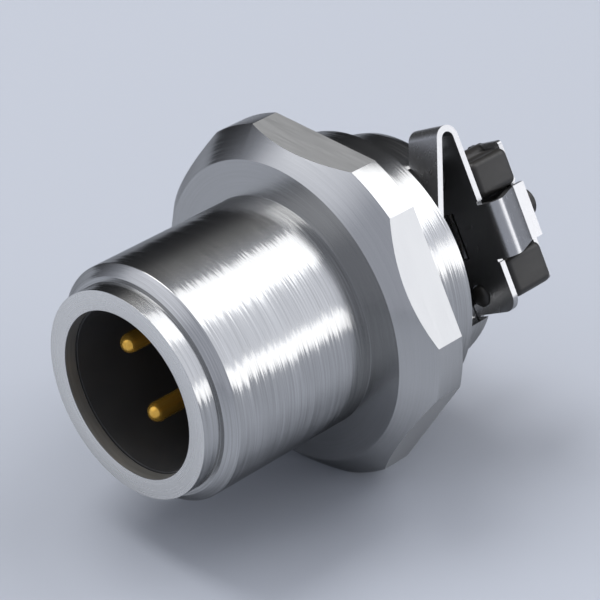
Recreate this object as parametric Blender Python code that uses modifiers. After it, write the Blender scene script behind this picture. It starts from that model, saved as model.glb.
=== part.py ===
"""Panel-mounting circular sensor connector with four contact pins and a folded shield bracket.

It is modelled standing on its rear end with its mouth up. One empty lays it down, so that its axis
lies along world Y with the mouth towards -Y, and a second empty turns what is mounted on the rear.
Depths are measured from the mouth face, and the origin is on the axis, midway along the length.
"""
import math

import bmesh
import bpy
from mathutils import Matrix

MM = 0.001

# Fits and cuts
FIT_GAP = 0.04 * MM
CUT_OVERRUN = 0.5 * MM
MERGE_DISTANCE = 0.0001 * MM
POINT_GRID = 0.0001 * MM

# Turned housing, outside
SPIGOT_RADIUS = 5.27 * MM
SPIGOT_LENGTH = 1.0 * MM
BARREL_RADIUS = 6.0 * MM
BARREL_CHAMFER = 0.49 * MM
BARREL_LENGTH = 9.04 * MM
HEX_ACROSS_FLATS = 17.03 * MM
HEX_LENGTH = 2.95 * MM
HEX_CORNER_RADIUS = 9.12 * MM
HEX_CHAMFER_LENGTH = 1.37 * MM
HEX_CHAMFER_RISE = 1.3 * MM
COLLAR_STEP = 0.7 * MM
COLLAR_LENGTH = 2.88 * MM
NECK_RADIUS = 6.14 * MM
NECK_LENGTH = 2.63 * MM
NECK_CHAMFER = 0.1 * MM
NECK_CHAMFER_LENGTH = 0.35 * MM

# Turned housing, inside
MOUTH_RADIUS = 4.25 * MM
LIP_LENGTH = 0.66 * MM
SEAT_RADIUS = 4.75 * MM
REAR_BORE_RADIUS = 5.0 * MM
REAR_BORE_LENGTH = 5.9 * MM
SEAL_GROOVE_WIDTH = 0.88 * MM

# Window milled in the neck for the bracket
WINDOW_HALF_WIDTH = 4.16 * MM
WINDOW_FLOOR = 3.5 * MM

# Moulded contact insert
SOCKET_RADIUS = 4.16 * MM
INSERT_WEB_LENGTH = 3.4 * MM
INSERT_FLANGE_LENGTH = 2.0 * MM
INSERT_BOSS_RADIUS = 3.1 * MM
INSERT_BOSS_EXCESS = 1.1 * MM
INSERT_SEAL_SETBACK = 1.8 * MM
INSERT_SEAL_RADIUS = 0.3 * MM
KEY_ANGLE = math.radians(30)
KEY_RIB_WIDTH = 0.9 * MM
KEY_RIB_HEIGHT = 0.55 * MM
KEY_RIB_SETBACK = 2.0 * MM
RETAINER_LENGTH = 0.95 * MM
RETAINER_BORE_GAP = 0.5 * MM

# Contact pins
PIN_COUNT = 4
PIN_RADIUS = 0.5 * MM
PIN_EDGE_WALL = 0.1 * MM
PIN_TIP_DEPTH = 2.0 * MM
PIN_TAIL_RADIUS = 0.4 * MM
PIN_TAIL_LENGTH = 2.4 * MM
PIN_TAIL_CHAMFER = 0.12 * MM
FIRST_PIN_ANGLE = math.radians(165)

# Folded shield bracket
BRACKET_ANGLE = math.radians(30)
SHEET_THICKNESS = 0.32 * MM
PLATE_DISC_RADIUS = 5.6 * MM
LUG_REACH = 6.5 * MM
LUG_HALF_HEIGHT = 4.1 * MM
LUG_CORNER_RADIUS = 0.8 * MM
FINGER_WIDTH = 2.1 * MM
FINGER_TOP = 5.65 * MM
FINGER_FOLD_RADIUS = 0.38 * MM
FINGER_LEAN = math.radians(25.4)
SLOT_HALF_HEIGHT = 1.2 * MM
SLOT_INSET = 2.0 * MM
SLOT_WIDTH = 0.75 * MM
LATCH_HALF_WIDTH = 1.41 * MM
LATCH_EXCESS = 1.0 * MM
LATCH_FOLD_RADIUS = 0.25 * MM
LATCH_SLOPE = math.radians(31.2)
LATCH_HOOK_INSET = 0.13 * MM
LATCH_HOOK_OVERHANG = 0.08 * MM
LATCH_HOOK_FOLD_RADIUS = 0.08 * MM
RELIEF_WIDTH = 0.17 * MM
RELIEF_LENGTH = 0.1 * MM
LATCH_ROOT_LENGTH = 0.44 * MM

# Push-on ring that holds the bracket on the insert's boss
CLIP_WIDTH = 0.42 * MM
CLIP_THICKNESS = 0.35 * MM
CLIP_CLEARANCE = 0.3 * MM

# Moulded latch block with its posts
BLOCK_LENGTH = 2.61 * MM
BLOCK_THICKNESS = 2.8 * MM
BLOCK_HALF_HEIGHT = 3.6 * MM
BLOCK_EDGE_RADIUS = 0.36 * MM
WAIST_SIDE_GAP = 0.1 * MM
WAIST_FLOOR_GAP = 0.3 * MM
POST_RADIUS = 0.55 * MM
POST_INSET = 0.64 * MM
POST_HALF_SPACING = 3.12 * MM
POST_HEAD_HEIGHT = 0.3 * MM
POST_REAR_EXCESS = 0.08 * MM
STUD_INSET = 1.25 * MM
STUD_SHANK_RADIUS = 0.42 * MM
STUD_HEAD_RADIUS = 0.65 * MM
STUD_HEAD_HEIGHT = 0.76 * MM
STUD_DOME_HEIGHT = 0.25 * MM

# Back plate behind the block
BACK_PLATE_THICKNESS = 0.25 * MM
BACK_PLATE_INSET = 0.46 * MM
BACK_PLATE_HALF_HEIGHT = 3.65 * MM
BACK_PLATE_CORNER_RADIUS = 0.2 * MM
BACK_PLATE_NOTCH_GAP = 0.1 * MM

# Facets
SHELL_STEPS = 96
INSERT_STEPS = 64
RING_STEPS = 48
PIN_STEPS = 24
POST_STEPS = 24
DOME_STEPS = 5
BLOCK_EDGE_STEPS = 3
SEAL_SECTION_STEPS = 10
ARC_STEP = math.radians(15)
SMOOTH_ANGLE = math.radians(19)

# Radii and places that follow from the sizes above
HEX_FACE_RADIUS = HEX_CORNER_RADIUS - HEX_CHAMFER_RISE
COLLAR_RADIUS = HEX_FACE_RADIUS - COLLAR_STEP
BLOCK_INNER_FACE = LUG_REACH - BLOCK_THICKNESS
POST_PLACE = BLOCK_INNER_FACE + POST_INSET
STUD_PLACE = LUG_REACH - STUD_INSET
SLOT_OUTER_EDGE = LUG_REACH - SLOT_INSET
LATCH_REACH = LUG_REACH + LATCH_EXCESS
LATCH_HOOK_REACH = LUG_REACH - LATCH_HOOK_INSET
CLIP_INNER_RADIUS = INSERT_BOSS_RADIUS + FIT_GAP
BLOCK_RELIEF_RADIUS = CLIP_INNER_RADIUS + CLIP_WIDTH + CLIP_CLEARANCE
RETAINER_BORE_RADIUS = INSERT_BOSS_RADIUS + RETAINER_BORE_GAP
PIN_CIRCLE_RADIUS = INSERT_BOSS_RADIUS - PIN_EDGE_WALL - PIN_RADIUS

# Depths that follow from the sizes above
HEX_FRONT_DEPTH = SPIGOT_LENGTH + BARREL_LENGTH
HEX_REAR_DEPTH = HEX_FRONT_DEPTH + HEX_LENGTH
COLLAR_REAR_DEPTH = HEX_REAR_DEPTH + COLLAR_LENGTH
NECK_REAR_DEPTH = COLLAR_REAR_DEPTH + NECK_LENGTH
FLANGE_DEPTH = NECK_REAR_DEPTH - REAR_BORE_LENGTH
SOCKET_FLOOR = FLANGE_DEPTH - INSERT_WEB_LENGTH
INSERT_SEAL_DEPTH = SOCKET_FLOOR + INSERT_SEAL_SETBACK
RETAINER_DEPTH = FLANGE_DEPTH + INSERT_FLANGE_LENGTH + FIT_GAP + FIT_GAP
PLATE_DEPTH = NECK_REAR_DEPTH + FIT_GAP
PLATE_REAR_DEPTH = PLATE_DEPTH + SHEET_THICKNESS
BOSS_REAR_DEPTH = PLATE_REAR_DEPTH + INSERT_BOSS_EXCESS
BLOCK_DEPTH = PLATE_REAR_DEPTH + FIT_GAP
BLOCK_REAR_DEPTH = BLOCK_DEPTH + BLOCK_LENGTH
BACK_PLATE_DEPTH = BLOCK_REAR_DEPTH + FIT_GAP
BACK_PLATE_REAR_DEPTH = BACK_PLATE_DEPTH + BACK_PLATE_THICKNESS
STUD_HEAD_DEPTH = BACK_PLATE_REAR_DEPTH + FIT_GAP
TOTAL_LENGTH = STUD_HEAD_DEPTH + STUD_HEAD_HEIGHT
MOUTH_HEIGHT = TOTAL_LENGTH / 2

# Looks
STEEL = (0.62, 0.63, 0.65, 1.0)
SPRING_STEEL = (0.42, 0.42, 0.44, 1.0)
BLACK_PLASTIC = (0.02, 0.02, 0.022, 1.0)
DARK_PLASTIC = (0.035, 0.032, 0.03, 1.0)
GOLD = (0.85, 0.58, 0.22, 1.0)
RUBBER = (0.012, 0.012, 0.012, 1.0)


def height(depth):
    """Height above the origin of a depth measured from the mouth face."""
    return MOUTH_HEIGHT - depth


def clear_scene():
    for item in list(bpy.data.objects):
        bpy.data.objects.remove(item, do_unlink=True)


def new_collection(name):
    collection = bpy.data.collections.new(name)
    bpy.context.scene.collection.children.link(collection)
    return collection


def new_empty(name, collection, parent=None):
    empty = bpy.data.objects.new(name, None)
    collection.objects.link(empty)
    empty.parent = parent
    return empty


def make_material(name, colour, roughness, metallic):
    material = bpy.data.materials.new(name)
    material.use_nodes = True
    shader = material.node_tree.nodes["Principled BSDF"]
    shader.inputs["Base Color"].default_value = colour
    shader.inputs["Roughness"].default_value = roughness
    shader.inputs["Metallic"].default_value = metallic
    return material


class Workshop:
    """The collections and the three frames that the pieces are made in."""

    def __init__(self):
        self.parts = new_collection("circular_sensor_connector")
        self.cutters = new_collection("cutters")
        self.axis = new_empty("axis_frame", self.parts)
        self.axis.rotation_euler.x = math.radians(90)
        self.bracket = new_empty("bracket_frame", self.parts, self.axis)
        self.bracket.rotation_euler.z = BRACKET_ANGLE
        self.key = new_empty("key_frame", self.parts, self.axis)
        self.key.rotation_euler.z = KEY_ANGLE

    def place(self, item, frame, collection):
        for old in list(item.users_collection):
            old.objects.unlink(item)
        collection.objects.link(item)
        item.parent = frame

    def hide_as_cutter(self, item):
        item.hide_render = True
        item.display_type = "WIRE"


def finish(item, material):
    """Gives a piece its material and smooth shading."""
    item.data.materials.clear()
    item.data.materials.append(material)
    item.data.shade_smooth()
    item.data.set_sharp_from_angle(angle=SMOOTH_ANGLE)
    return item


def round_edges(item, radius, steps):
    rounding = item.modifiers.new("rounded_edges", "BEVEL")
    rounding.width = radius
    rounding.segments = steps
    rounding.limit_method = "ANGLE"


def turned(shop, name, profile, steps, frame, collection, place=(0.0, 0.0)):
    """A turned body from (radius, height) points that run down its outer side.

    A profile whose first point is off the axis is closed into a ring."""
    mesh = bpy.data.meshes.new(name)
    points = [(radius, 0.0, level) for radius, level in profile]
    edges = [(index, index + 1) for index in range(len(points) - 1)]
    if profile[0][0] > 0.0:
        edges.append((len(points) - 1, 0))
    mesh.from_pydata(points, edges, [])
    item = bpy.data.objects.new(name, mesh)
    shop.place(item, frame, collection)
    item.location.x, item.location.y = place
    screw = item.modifiers.new("turned", "SCREW")
    screw.axis = "Z"
    screw.angle = math.tau
    screw.steps = steps
    screw.render_steps = steps
    screw.use_merge_vertices = True
    screw.merge_threshold = MERGE_DISTANCE
    screw.use_smooth_shade = False
    return item


def realised(item):
    """Turns a piece with modifiers, or a curve, into a plain welded mesh object."""
    evaluated = item.evaluated_get(bpy.context.evaluated_depsgraph_get())
    mesh = bpy.data.meshes.new_from_object(evaluated)
    cage = bmesh.new()
    cage.from_mesh(mesh)
    bmesh.ops.remove_doubles(cage, verts=cage.verts, dist=MERGE_DISTANCE)
    bmesh.ops.recalc_face_normals(cage, faces=cage.faces)
    cage.to_mesh(mesh)
    cage.free()
    solid = bpy.data.objects.new(item.name, mesh)
    for collection in item.users_collection:
        collection.objects.link(solid)
    solid.parent = item.parent
    solid.matrix_local = item.matrix_local
    name = item.name
    bpy.data.objects.remove(item, do_unlink=True)
    solid.name = name
    return solid


def settled(item):
    """Moves a piece's own placement into its mesh, on a fine grid, so that shared planes agree."""
    placement = item.matrix_basis.copy()
    for vertex in item.data.vertices:
        vertex.co = [round(part / POINT_GRID) * POINT_GRID for part in placement @ vertex.co]
    item.matrix_basis = Matrix.Identity(4)
    return item


def prism(shop, name, outline, thickness, frame, collection, place, turn=(0.0, 0.0, 0.0)):
    """A flat outline with a thickness, centred on its own plane."""
    curve = bpy.data.curves.new(name, "CURVE")
    curve.dimensions = "2D"
    curve.fill_mode = "BOTH"
    curve.extrude = thickness / 2
    spline = curve.splines.new("POLY")
    spline.points.add(len(outline) - 1)
    for point, (across, along) in zip(spline.points, outline):
        point.co = (across, along, 0.0, 1.0)
    spline.use_cyclic_u = True
    item = bpy.data.objects.new(name, curve)
    shop.place(item, frame, collection)
    item.location = place
    item.rotation_euler = turn
    bpy.context.view_layer.update()
    return settled(realised(item))


def box(shop, name, low, high, frame, collection):
    """A box between two corners of its frame."""
    bpy.ops.mesh.primitive_cube_add(size=1)
    item = bpy.context.object
    item.name = name
    size = [top - bottom for bottom, top in zip(low, high)]
    for vertex in item.data.vertices:
        vertex.co = [part * length for part, length in zip(vertex.co, size)]
    shop.place(item, frame, collection)
    item.location = [(bottom + top) / 2 for bottom, top in zip(low, high)]
    return item


def bore(shop, name, radius, place, low, high, steps, frame):
    """A round cutter between two heights."""
    profile = [(0.0, high), (radius, high), (radius, low), (0.0, low)]
    return turned(shop, name, profile, steps, frame, shop.cutters, place)


def boolean(item, other, operation):
    modifier = item.modifiers.new(other.name, "BOOLEAN")
    modifier.operation = operation
    modifier.solver = "EXACT"
    modifier.object = other


def arc(centre, radius, start, end):
    """Points along an arc, both ends included."""
    count = max(1, round(abs(end - start) / ARC_STEP))
    angles = [start + (end - start) * index / count for index in range(count + 1)]
    return [(centre[0] + radius * math.cos(angle), centre[1] + radius * math.sin(angle))
            for angle in angles]


def rounded_rectangle(low, high, radius):
    """An outline with four round corners, counterclockwise from the lower right corner."""
    left, bottom = low
    right, top = high
    outline = arc((right - radius, bottom + radius), radius, -math.pi / 2, 0.0)
    outline += arc((right - radius, top - radius), radius, 0.0, math.pi / 2)
    outline += arc((left + radius, top - radius), radius, math.pi / 2, math.pi)
    outline += arc((left + radius, bottom + radius), radius, math.pi, math.pi * 3 / 2)
    return outline


def folded_strip(start, runs):
    """The edge outline of a folded sheet, from (length, turn, inner radius) runs.

    The strip starts at a point of its middle plane and heads along the first axis."""
    half = SHEET_THICKNESS / 2
    across, along = start
    heading = 0.0
    left = [(across, along + half)]
    right = [(across, along - half)]
    for length, turn, inner_radius in runs:
        across += length * math.cos(heading)
        along += length * math.sin(heading)
        side = math.copysign(1.0, turn)
        middle_radius = inner_radius + half
        centre = (across - side * middle_radius * math.sin(heading),
                  along + side * middle_radius * math.cos(heading))
        begin = heading - side * math.pi / 2
        if turn == 0.0:
            normal = (-math.sin(heading) * half, math.cos(heading) * half)
            left.append((across + normal[0], along + normal[1]))
            right.append((across - normal[0], along - normal[1]))
        else:
            left += arc(centre, middle_radius - side * half, begin, begin + turn)
            right += arc(centre, middle_radius + side * half, begin, begin + turn)
            heading += turn
            across = centre[0] + side * middle_radius * math.sin(heading)
            along = centre[1] - side * middle_radius * math.cos(heading)
    return left + right[::-1]


def ring_profile(inner_radius, outer_radius, top, bottom):
    return [(inner_radius, height(top)), (outer_radius, height(top)),
            (outer_radius, height(bottom)), (inner_radius, height(bottom))]


def dome(radius, rise):
    """Points of a domed end from the axis to its side, as (radius, distance behind the tip)."""
    angles = [math.pi / 2 * index / DOME_STEPS for index in range(DOME_STEPS + 1)]
    return [(radius * math.sin(angle), rise - rise * math.cos(angle)) for angle in angles]


def make_shell(shop, steel):
    """The turned housing: spigot, barrel, hexagon, collar and neck in one piece."""
    groove_floor = HEX_REAR_DEPTH - SEAL_GROOVE_WIDTH
    profile = [
        (MOUTH_RADIUS, height(0.0)),
        (SPIGOT_RADIUS, height(0.0)),
        (SPIGOT_RADIUS, height(SPIGOT_LENGTH)),
        (BARREL_RADIUS - BARREL_CHAMFER, height(SPIGOT_LENGTH)),
        (BARREL_RADIUS, height(SPIGOT_LENGTH + BARREL_CHAMFER)),
        (BARREL_RADIUS, height(HEX_FRONT_DEPTH)),
        (HEX_FACE_RADIUS, height(HEX_FRONT_DEPTH)),
        (HEX_CORNER_RADIUS, height(HEX_FRONT_DEPTH + HEX_CHAMFER_LENGTH)),
        (HEX_CORNER_RADIUS, height(HEX_REAR_DEPTH)),
        (COLLAR_RADIUS + SEAL_GROOVE_WIDTH, height(HEX_REAR_DEPTH)),
        (COLLAR_RADIUS + SEAL_GROOVE_WIDTH, height(groove_floor)),
        (COLLAR_RADIUS, height(groove_floor)),
        (COLLAR_RADIUS, height(COLLAR_REAR_DEPTH)),
        (NECK_RADIUS, height(COLLAR_REAR_DEPTH)),
        (NECK_RADIUS, height(NECK_REAR_DEPTH - NECK_CHAMFER_LENGTH)),
        (NECK_RADIUS - NECK_CHAMFER, height(NECK_REAR_DEPTH)),
        (REAR_BORE_RADIUS, height(NECK_REAR_DEPTH)),
        (REAR_BORE_RADIUS, height(FLANGE_DEPTH)),
        (SEAT_RADIUS, height(FLANGE_DEPTH)),
        (SEAT_RADIUS, height(LIP_LENGTH)),
        (MOUTH_RADIUS, height(LIP_LENGTH)),
    ]
    shell = turned(shop, "shell", profile, SHELL_STEPS, shop.axis, shop.parts)
    corner_distance = HEX_ACROSS_FLATS / 2 / math.cos(math.pi / 6)
    bpy.ops.mesh.primitive_cylinder_add(
        vertices=6, radius=corner_distance, depth=TOTAL_LENGTH + CUT_OVERRUN)
    hexagon = bpy.context.object
    hexagon.name = "hexagon_bar"
    shop.place(hexagon, shop.axis, shop.cutters)
    hexagon.rotation_euler.z = math.pi / 6
    shop.hide_as_cutter(hexagon)
    boolean(shell, hexagon, "INTERSECT")
    window = box(
        shop, "neck_window",
        (WINDOW_FLOOR, -WINDOW_HALF_WIDTH, height(NECK_REAR_DEPTH + CUT_OVERRUN)),
        (NECK_RADIUS + CUT_OVERRUN, WINDOW_HALF_WIDTH, height(COLLAR_REAR_DEPTH)),
        shop.bracket, shop.cutters)
    shop.hide_as_cutter(window)
    boolean(shell, window, "DIFFERENCE")
    return finish(shell, steel)


def seal(shop, name, ring_radius, section_radius, depth, material):
    """A round rubber ring."""
    bpy.ops.mesh.primitive_torus_add(
        major_segments=RING_STEPS, minor_segments=SEAL_SECTION_STEPS,
        major_radius=ring_radius, minor_radius=section_radius)
    item = bpy.context.object
    item.name = name
    shop.place(item, shop.axis, shop.parts)
    item.location.z = height(depth)
    return finish(item, material)


def make_seals(shop, rubber):
    panel_section = SEAL_GROOVE_WIDTH / 2 - FIT_GAP
    seal(shop, "panel_seal", COLLAR_RADIUS + SEAL_GROOVE_WIDTH / 2, panel_section,
         HEX_REAR_DEPTH - SEAL_GROOVE_WIDTH / 2, rubber)
    seal(shop, "insert_seal", SEAT_RADIUS - FIT_GAP - INSERT_SEAL_RADIUS, INSERT_SEAL_RADIUS,
         INSERT_SEAL_DEPTH, rubber)


def make_insert(shop, plastic):
    """The moulded insert: socket wall, floor, seal groove, flange and rear boss."""
    cup_radius = SEAT_RADIUS - FIT_GAP
    groove_half = INSERT_SEAL_RADIUS + FIT_GAP
    groove_radius = cup_radius - groove_half - groove_half
    profile = [
        (0.0, height(SOCKET_FLOOR)),
        (SOCKET_RADIUS, height(SOCKET_FLOOR)),
        (SOCKET_RADIUS, height(LIP_LENGTH + FIT_GAP)),
        (cup_radius, height(LIP_LENGTH + FIT_GAP)),
        (cup_radius, height(INSERT_SEAL_DEPTH - groove_half)),
        (groove_radius, height(INSERT_SEAL_DEPTH - groove_half)),
        (groove_radius, height(INSERT_SEAL_DEPTH + groove_half)),
        (cup_radius, height(INSERT_SEAL_DEPTH + groove_half)),
        (cup_radius, height(FLANGE_DEPTH + FIT_GAP)),
        (REAR_BORE_RADIUS - FIT_GAP, height(FLANGE_DEPTH + FIT_GAP)),
        (REAR_BORE_RADIUS - FIT_GAP, height(RETAINER_DEPTH - FIT_GAP)),
        (INSERT_BOSS_RADIUS, height(RETAINER_DEPTH - FIT_GAP)),
        (INSERT_BOSS_RADIUS, height(BOSS_REAR_DEPTH)),
        (0.0, height(BOSS_REAR_DEPTH)),
    ]
    insert = turned(shop, "insert", profile, INSERT_STEPS, shop.axis, shop.parts)
    rib_foot = (SOCKET_RADIUS + cup_radius) / 2
    rib = box(
        shop, "key_rib",
        (SOCKET_RADIUS - KEY_RIB_HEIGHT, -KEY_RIB_WIDTH / 2, height(SOCKET_FLOOR + CUT_OVERRUN)),
        (rib_foot, KEY_RIB_WIDTH / 2, height(LIP_LENGTH + KEY_RIB_SETBACK)),
        shop.key, shop.cutters)
    shop.hide_as_cutter(rib)
    boolean(insert, rib, "UNION")
    low = height(BOSS_REAR_DEPTH + CUT_OVERRUN)
    high = height(SOCKET_FLOOR - CUT_OVERRUN)
    for number in range(PIN_COUNT):
        hole = bore(shop, f"pin_hole_{number + 1}", PIN_RADIUS + FIT_GAP, pin_place(number),
                    low, high, PIN_STEPS, shop.axis)
        shop.hide_as_cutter(hole)
        boolean(insert, hole, "DIFFERENCE")
    return finish(insert, plastic)


def pin_place(number):
    angle = FIRST_PIN_ANGLE + math.tau * number / PIN_COUNT
    return PIN_CIRCLE_RADIUS * math.cos(angle), PIN_CIRCLE_RADIUS * math.sin(angle)


def make_pins(shop, gold):
    """Round-nosed contact pins with thinner solder tails behind the insert."""
    tail_end = BOSS_REAR_DEPTH + PIN_TAIL_LENGTH
    profile = [(radius, height(PIN_TIP_DEPTH + drop)) for radius, drop in dome(PIN_RADIUS, PIN_RADIUS)]
    profile += [
        (PIN_RADIUS, height(BOSS_REAR_DEPTH)),
        (PIN_TAIL_RADIUS, height(BOSS_REAR_DEPTH)),
        (PIN_TAIL_RADIUS, height(tail_end - PIN_TAIL_CHAMFER)),
        (PIN_TAIL_RADIUS - PIN_TAIL_CHAMFER, height(tail_end)),
        (0.0, height(tail_end)),
    ]
    for number in range(PIN_COUNT):
        name = f"pin_{number + 1}"
        pin = turned(shop, name, profile, PIN_STEPS, shop.axis, shop.parts, pin_place(number))
        finish(pin, gold)


def make_retainer(shop, steel):
    """The ring pressed in behind the insert's flange."""
    profile = ring_profile(RETAINER_BORE_RADIUS, REAR_BORE_RADIUS - FIT_GAP,
                           RETAINER_DEPTH, RETAINER_DEPTH + RETAINER_LENGTH)
    ring = turned(shop, "retainer_ring", profile, RING_STEPS, shop.axis, shop.parts)
    return finish(ring, steel)


def finger_outline():
    """Edge outline of the folded finger: up the plate, over the fold and down to the collar."""
    half = SHEET_THICKNESS / 2
    middle = height(PLATE_DEPTH + half)
    fold_radius = FINGER_FOLD_RADIUS + half
    fold_start = FINGER_TOP - FINGER_FOLD_RADIUS - SHEET_THICKNESS
    turn = math.pi - FINGER_LEAN
    leg_start = middle + fold_radius - fold_radius * math.cos(turn)
    leg_end = height(COLLAR_REAR_DEPTH + FIT_GAP) - half * math.cos(FINGER_LEAN)
    leg_length = (leg_end - leg_start) / math.sin(FINGER_LEAN)
    root = LUG_HALF_HEIGHT / 2
    return folded_strip((root, middle), [
        (fold_start - root, turn, FINGER_FOLD_RADIUS),
        (leg_length, 0.0, 0.0)])


def latch_outline():
    """Edge outline of the latch: out of the plate, back over the block and into the back plate's notch."""
    half = SHEET_THICKNESS / 2
    middle = height(PLATE_DEPTH + half)
    fold_start = LATCH_REACH - LATCH_FOLD_RADIUS - SHEET_THICKNESS
    fold_middle = LATCH_FOLD_RADIUS + half
    hook_middle = LATCH_HOOK_FOLD_RADIUS + half
    slope_start = fold_start + fold_middle * math.cos(LATCH_SLOPE)
    slope_end = LATCH_HOOK_REACH - half + hook_middle * (1 - math.cos(LATCH_SLOPE))
    slope_length = (slope_start - slope_end) / math.sin(LATCH_SLOPE)
    folds_drop = fold_middle + (fold_middle + hook_middle) * math.sin(LATCH_SLOPE)
    hook_start = middle - folds_drop - slope_length * math.cos(LATCH_SLOPE)
    hook_length = hook_start - height(BACK_PLATE_REAR_DEPTH + LATCH_HOOK_OVERHANG)
    root = LUG_REACH - LATCH_ROOT_LENGTH
    return folded_strip((root, middle), [
        (fold_start - root, -(math.pi / 2 + LATCH_SLOPE), LATCH_FOLD_RADIUS),
        (slope_length, LATCH_SLOPE, LATCH_HOOK_FOLD_RADIUS),
        (hook_length, 0.0, 0.0)])


def make_bracket(shop, spring_steel):
    """The folded shield bracket: round plate with a lug, sprung finger and latch, from one sheet."""
    middle = (0.0, 0.0, height(PLATE_DEPTH + SHEET_THICKNESS / 2))
    bracket = prism(
        shop, "shield_bracket", plate_outline(), SHEET_THICKNESS, shop.bracket, shop.parts, middle)
    finger = prism(
        shop, "finger", finger_outline(), FINGER_WIDTH, shop.bracket, shop.cutters,
        (LUG_REACH - FINGER_WIDTH / 2, 0.0, 0.0), (math.pi / 2, 0.0, math.pi / 2))
    latch = prism(
        shop, "latch", latch_outline(), LATCH_HALF_WIDTH + LATCH_HALF_WIDTH, shop.bracket, shop.cutters,
        (0.0, 0.0, 0.0), (math.pi / 2, 0.0, 0.0))
    for piece in (finger, latch):
        shop.hide_as_cutter(piece)
        boolean(bracket, piece, "UNION")
    for cutter in bracket_cutters(shop):
        shop.hide_as_cutter(cutter)
        boolean(bracket, cutter, "DIFFERENCE")
    return finish(bracket, spring_steel)


def plate_outline():
    """Outline of the round plate with its lug, whose lower corner is rounded."""
    junction = math.asin(LUG_HALF_HEIGHT / PLATE_DISC_RADIUS)
    outline = arc((0.0, 0.0), PLATE_DISC_RADIUS, junction, math.tau - junction)
    corner = (LUG_REACH - LUG_CORNER_RADIUS, LUG_CORNER_RADIUS - LUG_HALF_HEIGHT)
    outline += arc(corner, LUG_CORNER_RADIUS, -math.pi / 2, 0.0)
    outline.append((LUG_REACH, LUG_HALF_HEIGHT))
    return outline


def bracket_cutters(shop):
    """Holes for the boss and the posts, the slot, and the reliefs beside the latch."""
    low = height(PLATE_REAR_DEPTH + CUT_OVERRUN)
    high = height(PLATE_DEPTH - CUT_OVERRUN)
    cutters = [bore(shop, "boss_hole", INSERT_BOSS_RADIUS + FIT_GAP, (0.0, 0.0),
                    low, high, RING_STEPS, shop.bracket)]
    for side in (-1, 1):
        cutters.append(bore(shop, f"post_hole_{side + 2}", POST_RADIUS + FIT_GAP,
                            (POST_PLACE, side * POST_HALF_SPACING), low, high, POST_STEPS, shop.bracket))
        edges = sorted((side * LATCH_HALF_WIDTH, side * (LATCH_HALF_WIDTH + RELIEF_WIDTH)))
        cutters.append(box(shop, f"relief_{side + 2}", (LUG_REACH - RELIEF_LENGTH, edges[0], low),
                           (LUG_REACH + CUT_OVERRUN, edges[1], high), shop.bracket, shop.cutters))
    cutters.append(box(shop, "slot", (SLOT_OUTER_EDGE - SLOT_WIDTH, -SLOT_HALF_HEIGHT, low),
                       (SLOT_OUTER_EDGE, SLOT_HALF_HEIGHT, high), shop.bracket, shop.cutters))
    return cutters


def make_clip(shop, spring_steel):
    """The push-on ring on the insert's boss, behind the bracket."""
    top = PLATE_REAR_DEPTH + FIT_GAP
    profile = ring_profile(CLIP_INNER_RADIUS, CLIP_INNER_RADIUS + CLIP_WIDTH, top, top + CLIP_THICKNESS)
    ring = turned(shop, "bracket_clip", profile, RING_STEPS, shop.axis, shop.parts)
    return finish(ring, spring_steel)


def make_block(shop, plastic):
    """The moulded latch block: a waisted body with two through posts and a staked stud."""
    block = box(
        shop, "latch_block",
        (BLOCK_INNER_FACE, -BLOCK_HALF_HEIGHT, height(BLOCK_REAR_DEPTH)),
        (LUG_REACH, BLOCK_HALF_HEIGHT, height(BLOCK_DEPTH)),
        shop.bracket, shop.parts)
    waist_floor = LATCH_HOOK_REACH - SHEET_THICKNESS - WAIST_FLOOR_GAP
    waist_half = LATCH_HALF_WIDTH + WAIST_SIDE_GAP
    waist = box(
        shop, "waist",
        (waist_floor, -waist_half, height(BLOCK_REAR_DEPTH + CUT_OVERRUN)),
        (LUG_REACH + CUT_OVERRUN, waist_half, height(BLOCK_DEPTH - CUT_OVERRUN)),
        shop.bracket, shop.cutters)
    shop.hide_as_cutter(waist)
    boolean(block, waist, "DIFFERENCE")
    round_edges(block, BLOCK_EDGE_RADIUS, BLOCK_EDGE_STEPS)
    relief = bore(shop, "clip_relief", BLOCK_RELIEF_RADIUS, (0.0, 0.0),
                  height(BLOCK_REAR_DEPTH + CUT_OVERRUN), height(BLOCK_DEPTH - CUT_OVERRUN),
                  INSERT_STEPS, shop.bracket)
    shop.hide_as_cutter(relief)
    boolean(block, relief, "DIFFERENCE")
    for side in (-1, 1):
        post = turned(
            shop, f"post_{side + 2}", post_profile(), POST_STEPS, shop.bracket, shop.cutters,
            (POST_PLACE, side * POST_HALF_SPACING))
        shop.hide_as_cutter(post)
        boolean(block, post, "UNION")
    stud = turned(
        shop, "stud", stud_profile(), POST_STEPS, shop.bracket, shop.cutters, (STUD_PLACE, 0.0))
    shop.hide_as_cutter(stud)
    boolean(block, stud, "UNION")
    return finish(block, plastic)


def post_profile():
    """A post from its domed head on the bracket to its flat end behind the back plate."""
    front = PLATE_DEPTH - POST_HEAD_HEIGHT
    rear = BACK_PLATE_REAR_DEPTH + POST_REAR_EXCESS
    head = [(radius, height(front + drop)) for radius, drop in dome(POST_RADIUS, POST_HEAD_HEIGHT)]
    return head + [(POST_RADIUS, height(rear)), (0.0, height(rear))]


def stud_profile():
    """The stud from the middle of the block to its domed head behind the back plate."""
    root = BLOCK_DEPTH + BLOCK_LENGTH / 2
    shank = [(0.0, height(root)),
             (STUD_SHANK_RADIUS, height(root)),
             (STUD_SHANK_RADIUS, height(STUD_HEAD_DEPTH)),
             (STUD_HEAD_RADIUS, height(STUD_HEAD_DEPTH))]
    head = [(radius, height(TOTAL_LENGTH - rise))
            for radius, rise in reversed(dome(STUD_HEAD_RADIUS, STUD_DOME_HEIGHT))]
    return shank + head


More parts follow.
